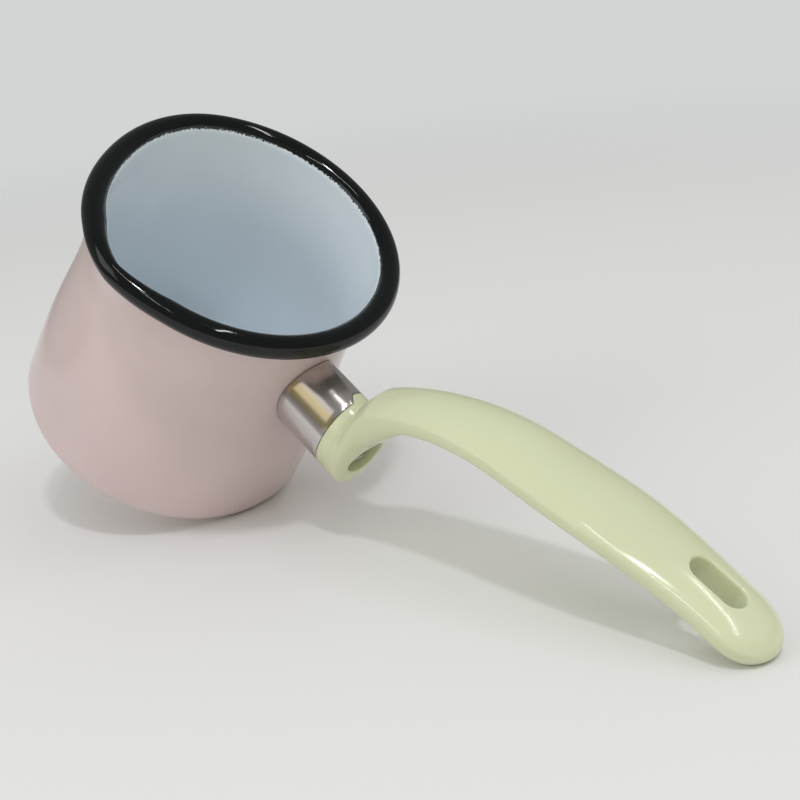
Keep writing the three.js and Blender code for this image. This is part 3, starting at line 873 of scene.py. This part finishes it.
def plastic(name, colour):
    """Moulded plastic: a soft drift of tone, fine flow streaks and a slightly uneven gloss."""
    paint = Paint(name, IOR=1.5, Specular_IOR_Level=0.5, Subsurface_Weight=0.06, Subsurface_Scale=0.004)
    paint.shader.inputs["Subsurface Radius"].default_value = (1.0, 0.9, 0.5)
    drift = paint.noise(24, 2)
    base = paint.ramp(drift, *SPREAD, shade(colour, 0.97), shade(colour, 1.02))
    flow = paint.ramp(paint.noise(60, 3, 0.6, (0.25, 1.0, 1.0)), 0.62, 0.8, 0.0, 0.22)
    paint.colour(paint.mix(flow, base, shade(colour, 0.92)))
    paint.rough(paint.ramp(paint.noise(240, 3), *SPREAD, 0.09, 0.15))
    paint.bump(paint.noise(420, 2), 0.02, 0.15)
    paint.bump(paint.noise(45, 1), 0.2, 0.12)
    return paint.material


def plated(name, dark, golden_reflection, pale):
    """Plating whose colour is banded by height round the sleeve as painted reflections: dark along the top
    where the black rim is mirrored, a dark line and a golden band along the flank, pale below where the
    table is mirrored; with real marks along it.
    """
    paint = Paint(name, Metallic=0.85)
    mapping = paint.nodes.new("ShaderNodeMapping")
    to_sleeve = HANDLE_PLACE.inverted()
    mapping.inputs["Location"].default_value = to_sleeve.translation * MM
    mapping.inputs["Rotation"].default_value = to_sleeve.to_euler()
    paint.links.new(paint.place, mapping.inputs["Vector"])
    parts = paint.nodes.new("ShaderNodeSeparateXYZ")
    paint.links.new(mapping.outputs["Vector"], parts.inputs["Vector"])
    height = paint.nodes.new("ShaderNodeMapRange")
    height.inputs["From Min"].default_value = (SCREW_DROP - FERRULE_HALF[1]) * MM
    height.inputs["From Max"].default_value = (SCREW_DROP + FERRULE_HALF[1]) * MM
    paint.links.new(parts.outputs["Z"], height.inputs["Value"])
    # Painted reflections as colour by height: dark top for the mirrored black rim, a dark line and a golden
    # band on the flank, a pale lower part for the mirrored table, darker at the very bottom
    painted_reflection_bands = paint.nodes.new("ShaderNodeValToRGB")
    stops = [
        (0.0, shade(pale, 0.75)), (0.30, pale), (0.57, pale),
        (0.61, shade(dark, 0.6)), (0.66, shade(dark, 0.6)),
        (0.69, golden_reflection), (0.80, golden_reflection),
        (0.87, dark), (1.0, shade(dark, 1.15)),
    ]
    ramp = painted_reflection_bands.color_ramp
    while len(ramp.elements) < len(stops):
        ramp.elements.new(0.5)
    for element, (level, colour) in zip(ramp.elements, stops):
        element.position = level
        element.color = (*colour, 1)
    paint.links.new(height.outputs["Result"], painted_reflection_bands.inputs["Fac"])
    marks = paint.noise(420, 4, 0.6, (0.06, 1.0, 1.0))
    worn = paint.ramp(marks, 0.35, 0.8, 0.0, 0.35)
    paint.colour(paint.mix(worn, painted_reflection_bands.outputs["Color"], shade(dark, 0.8)))
    paint.rough(paint.ramp(paint.noise(130, 3, 0.6, (0.08, 1.0, 1.0)), *SPREAD, 0.16, 0.26))
    paint.bump(marks, 0.02, 0.15)
    return paint.material


def metal(name, colour, rough_low, rough_high, stretch):
    """Drawn metal with fine marks along the way it was drawn."""
    paint = Paint(name, Metallic=1.0)
    marks = paint.noise(500, 4, 0.6, stretch)
    paint.colour(paint.ramp(marks, 0.3, 0.75, shade(colour, 0.82), colour))
    paint.rough(paint.ramp(paint.noise(130, 3, 0.6, stretch), *SPREAD, rough_low, rough_high))
    paint.bump(marks, 0.02, 0.15)
    return paint.material


PINK = enamel("pink_enamel", colour=(0.655, 0.53, 0.53), speck=(0.47, 0.37, 0.355), gloss=0.10)
WHITE = enamel(
    "white_enamel", colour=(0.80, 0.868, 0.925), speck=(0.58, 0.63, 0.66), gloss=0.12, cloud=0.02,
    spray=(0.004, 0.005, 0.005),
)
BLACK = enamel(
    "black_enamel", colour=(0.002, 0.0026, 0.003), speck=(0.02, 0.02, 0.02), gloss=0.04, cloud=0.15,
    shine=0.4,
)
GREEN = plastic("handle_plastic", (0.68, 0.712, 0.478))
# The sleeve's colour bands by height are painted reflections of the rim, of the lamps as a golden band and
# of the table
PLATED = plated("bright_metal", dark=(0.56, 0.51, 0.48), golden_reflection=(0.50, 0.40, 0.20), pale=(0.66, 0.63, 0.62))
BRIGHT = metal("screw_metal", (0.60, 0.57, 0.54), 0.10, 0.20, (0.08, 1.0, 1.0))
STEEL = metal("steel_sheet", (0.42, 0.42, 0.43), 0.32, 0.45, (1.0, 1.0, 0.15))


def dress(piece, material, slot, *nodes):
    """Gives a piece its surface and its place in the model."""
    piece.data.materials.clear()
    piece.data.materials.append(material)
    piece.data.shade_smooth()
    piece.data.set_sharp_from_angle(angle=SMOOTH_ANGLE)
    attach(piece, "root")
    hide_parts(*nodes)


dress(outer_coat(), PINK, "pink_enamel", "outer_enamel")
dress(lining(), WHITE, "white_enamel", "inner_enamel")
dress(rim_coat(), BLACK, "black_enamel", "rim_enamel")
dress(ferrule(), PLATED, "bright_metal", "ferrule")
dress(handle(), GREEN, "handle_plastic", "handle")
dress(screw(), BRIGHT, "bright_metal", "handle_screw")
dress(washer(), BRIGHT, "bright_metal", "screw_washer")
for hidden in ("pot_shell", "handle_bracket", "bracket_nut"):
    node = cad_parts[hidden]
    node.data.materials.clear()
    node.data.materials.append(STEEL)

# Table: the pot leans over onto the tip of its handle

TABLE_TILT = math.radians(39.555)
TABLE_UP = Vector((-math.sin(TABLE_TILT), 0, math.cos(TABLE_TILT)))
TABLE_DEPTH = 23.9 * MM
TABLE_SIZE = 1.6
TABLE_FADE = (0.28, 0.75)
TABLE_PAPER = (0.80, 0.80, 0.80)
TABLE_GREY = (0.645, 0.662, 0.66)
ROOM_LOW = (1.0, 0.94, 0.70)
ROOM_HIGH = (0.97, 0.985, 1.0)
ROOM_LEVELS = (0.0, 0.75)
ROOM_STRENGTH = 0.605
GLOSS_STRENGTH = 0.36

CAMERA_PLACE = Vector((0.1609, -0.2214, 0.2999))
CAMERA_TARGET = Vector((0.0407, 0.0448, 0.0266))
CAMERA_UP = Vector((-0.7084, 0.324, 0.6271))
CAMERA_LENS = 63.0


def table():
    mesh = bpy.data.meshes.new("table")
    shape = bmesh.new()
    bmesh.ops.create_grid(shape, x_segments=8, y_segments=8, size=TABLE_SIZE)
    turn = TABLE_UP.to_track_quat("Z", "X").to_matrix().to_4x4()
    turn.translation = -TABLE_UP * TABLE_DEPTH
    bmesh.ops.transform(shape, matrix=turn, verts=shape.verts)
    shape.to_mesh(mesh)
    shape.free()
    piece = bpy.data.objects.new("table", mesh)
    bpy.context.scene.collection.objects.link(piece)
    material = bpy.data.materials.new("table")
    material.use_nodes = True
    nodes, links = material.node_tree.nodes, material.node_tree.links
    nodes.clear()
    out = nodes.new("ShaderNodeOutputMaterial")
    paper = nodes.new("ShaderNodeBsdfDiffuse")
    paper.inputs["Color"].default_value = (*TABLE_PAPER, 1)
    clear = nodes.new("ShaderNodeBsdfTransparent")
    mix = nodes.new("ShaderNodeMixShader")
    place = nodes.new("ShaderNodeTexCoord")
    length = nodes.new("ShaderNodeVectorMath")
    length.operation = "LENGTH"
    fade = nodes.new("ShaderNodeMapRange")
    fade.interpolation_type = "SMOOTHSTEP"
    fade.inputs["From Min"].default_value = TABLE_FADE[0]
    fade.inputs["From Max"].default_value = TABLE_FADE[1]
    side = nodes.new("ShaderNodeNewGeometry")
    most = nodes.new("ShaderNodeMath")
    most.operation = "MAXIMUM"
    links.new(place.outputs["Object"], length.inputs[0])
    links.new(length.outputs["Value"], fade.inputs["Value"])
    links.new(fade.outputs["Result"], most.inputs[0])
    links.new(side.outputs["Backfacing"], most.inputs[1])
    links.new(most.outputs["Value"], mix.inputs["Fac"])
    links.new(paper.outputs["BSDF"], mix.inputs[1])
    links.new(clear.outputs["BSDF"], mix.inputs[2])
    links.new(mix.outputs["Shader"], out.inputs["Surface"])
    mesh.materials.append(material)


def studio():
    """A pale room, warm round the table and cool overhead, plain grey to the camera and dimmer in gloss."""
    world = bpy.data.worlds.new("studio")
    world.use_nodes = True
    nodes, links = world.node_tree.nodes, world.node_tree.links
    nodes.clear()
    out = nodes.new("ShaderNodeOutputWorld")
    place = nodes.new("ShaderNodeTexCoord")
    rise = nodes.new("ShaderNodeVectorMath")
    rise.operation = "DOT_PRODUCT"
    rise.inputs[1].default_value = TABLE_UP
    tint = nodes.new("ShaderNodeValToRGB")
    for stop, level, colour in zip(tint.color_ramp.elements, ROOM_LEVELS, (ROOM_LOW, ROOM_HIGH)):
        stop.position = level
        stop.color = (*colour, 1)
    room = nodes.new("ShaderNodeBackground")
    room.inputs["Strength"].default_value = ROOM_STRENGTH
    seen = nodes.new("ShaderNodeBackground")
    seen.inputs["Color"].default_value = (*TABLE_GREY, 1)
    path = nodes.new("ShaderNodeLightPath")
    either = nodes.new("ShaderNodeMath")
    either.operation = "MAXIMUM"
    dim = nodes.new("ShaderNodeBackground")
    dim.inputs["Color"].default_value = (*TABLE_GREY, 1)
    dim.inputs["Strength"].default_value = GLOSS_STRENGTH
    gloss = nodes.new("ShaderNodeMixShader")
    mix = nodes.new("ShaderNodeMixShader")
    links.new(place.outputs["Generated"], rise.inputs[0])
    links.new(rise.outputs["Value"], tint.inputs["Fac"])
    links.new(tint.outputs["Color"], room.inputs["Color"])
    links.new(path.outputs["Is Glossy Ray"], gloss.inputs["Fac"])
    links.new(room.outputs["Background"], gloss.inputs[1])
    links.new(dim.outputs["Background"], gloss.inputs[2])
    links.new(path.outputs["Is Camera Ray"], either.inputs[0])
    links.new(path.outputs["Is Transmission Ray"], either.inputs[1])
    links.new(either.outputs["Value"], mix.inputs["Fac"])
    links.new(gloss.outputs["Shader"], mix.inputs[1])
    links.new(seen.outputs["Background"], mix.inputs[2])
    links.new(mix.outputs["Shader"], out.inputs["Surface"])
    bpy.context.scene.world = world


CENTRE = Vector((0.05, 0.0, 0.05))
CAMERA_BACK = (CAMERA_PLACE - CAMERA_TARGET).normalized()
CAMERA_RIGHT = CAMERA_UP.cross(CAMERA_BACK).normalized()
FRONT = (CAMERA_BACK - TABLE_UP * CAMERA_BACK.dot(TABLE_UP)).normalized()
RIGHT = (CAMERA_RIGHT - TABLE_UP * CAMERA_RIGHT.dot(TABLE_UP)).normalized()


def lamp(name, place, panel, power, colour=(1, 1, 1)):
    """A panel, placed to the right, front and top of the pot as the camera sees it, and aimed at it."""
    light = bpy.data.lights.new(name, "AREA")
    light.shape = "RECTANGLE"
    light.size, light.size_y = panel
    light.energy = power
    light.color = colour
    piece = bpy.data.objects.new(name, light)
    reach = RIGHT * place[0] + FRONT * place[1] + TABLE_UP * place[2]
    away = reach.normalized()
    along = (FRONT - away * FRONT.dot(away)).normalized()
    turn = Matrix((along.cross(away), along, away)).transposed().to_4x4()
    turn.translation = CENTRE + reach
    piece.matrix_world = turn
    bpy.context.scene.collection.objects.link(piece)


def camera():
    lens = bpy.data.cameras.new("camera")
    lens.lens = CAMERA_LENS
    lens.sensor_width = 36.0
    lens.clip_start = 0.01
    piece = bpy.data.objects.new("camera", lens)
    up = CAMERA_BACK.cross(CAMERA_RIGHT)
    turn = Matrix((CAMERA_RIGHT, up, CAMERA_BACK)).transposed().to_4x4()
    turn.translation = CAMERA_PLACE
    piece.matrix_world = turn
    bpy.context.scene.collection.objects.link(piece)
    bpy.context.scene.camera = piece


table()
studio()
camera()
lamp("key", place=(0.16, 0.64, 1.25), panel=(0.10, 0.10), power=3.2, colour=(0.985, 0.985, 1.04))
lamp("window", place=(-0.65, 0.30, 0.42), panel=(0.50, 0.50), power=0.95)
lamp("near_tube", place=(0.02, 0.62, 1.0), panel=(0.025, 0.85), power=1.35)
lamp("far_tube", place=(0.66, 0.40, 1.0), panel=(0.025, 0.75), power=1.35)
bpy.context.scene.view_settings.view_transform = "Standard"
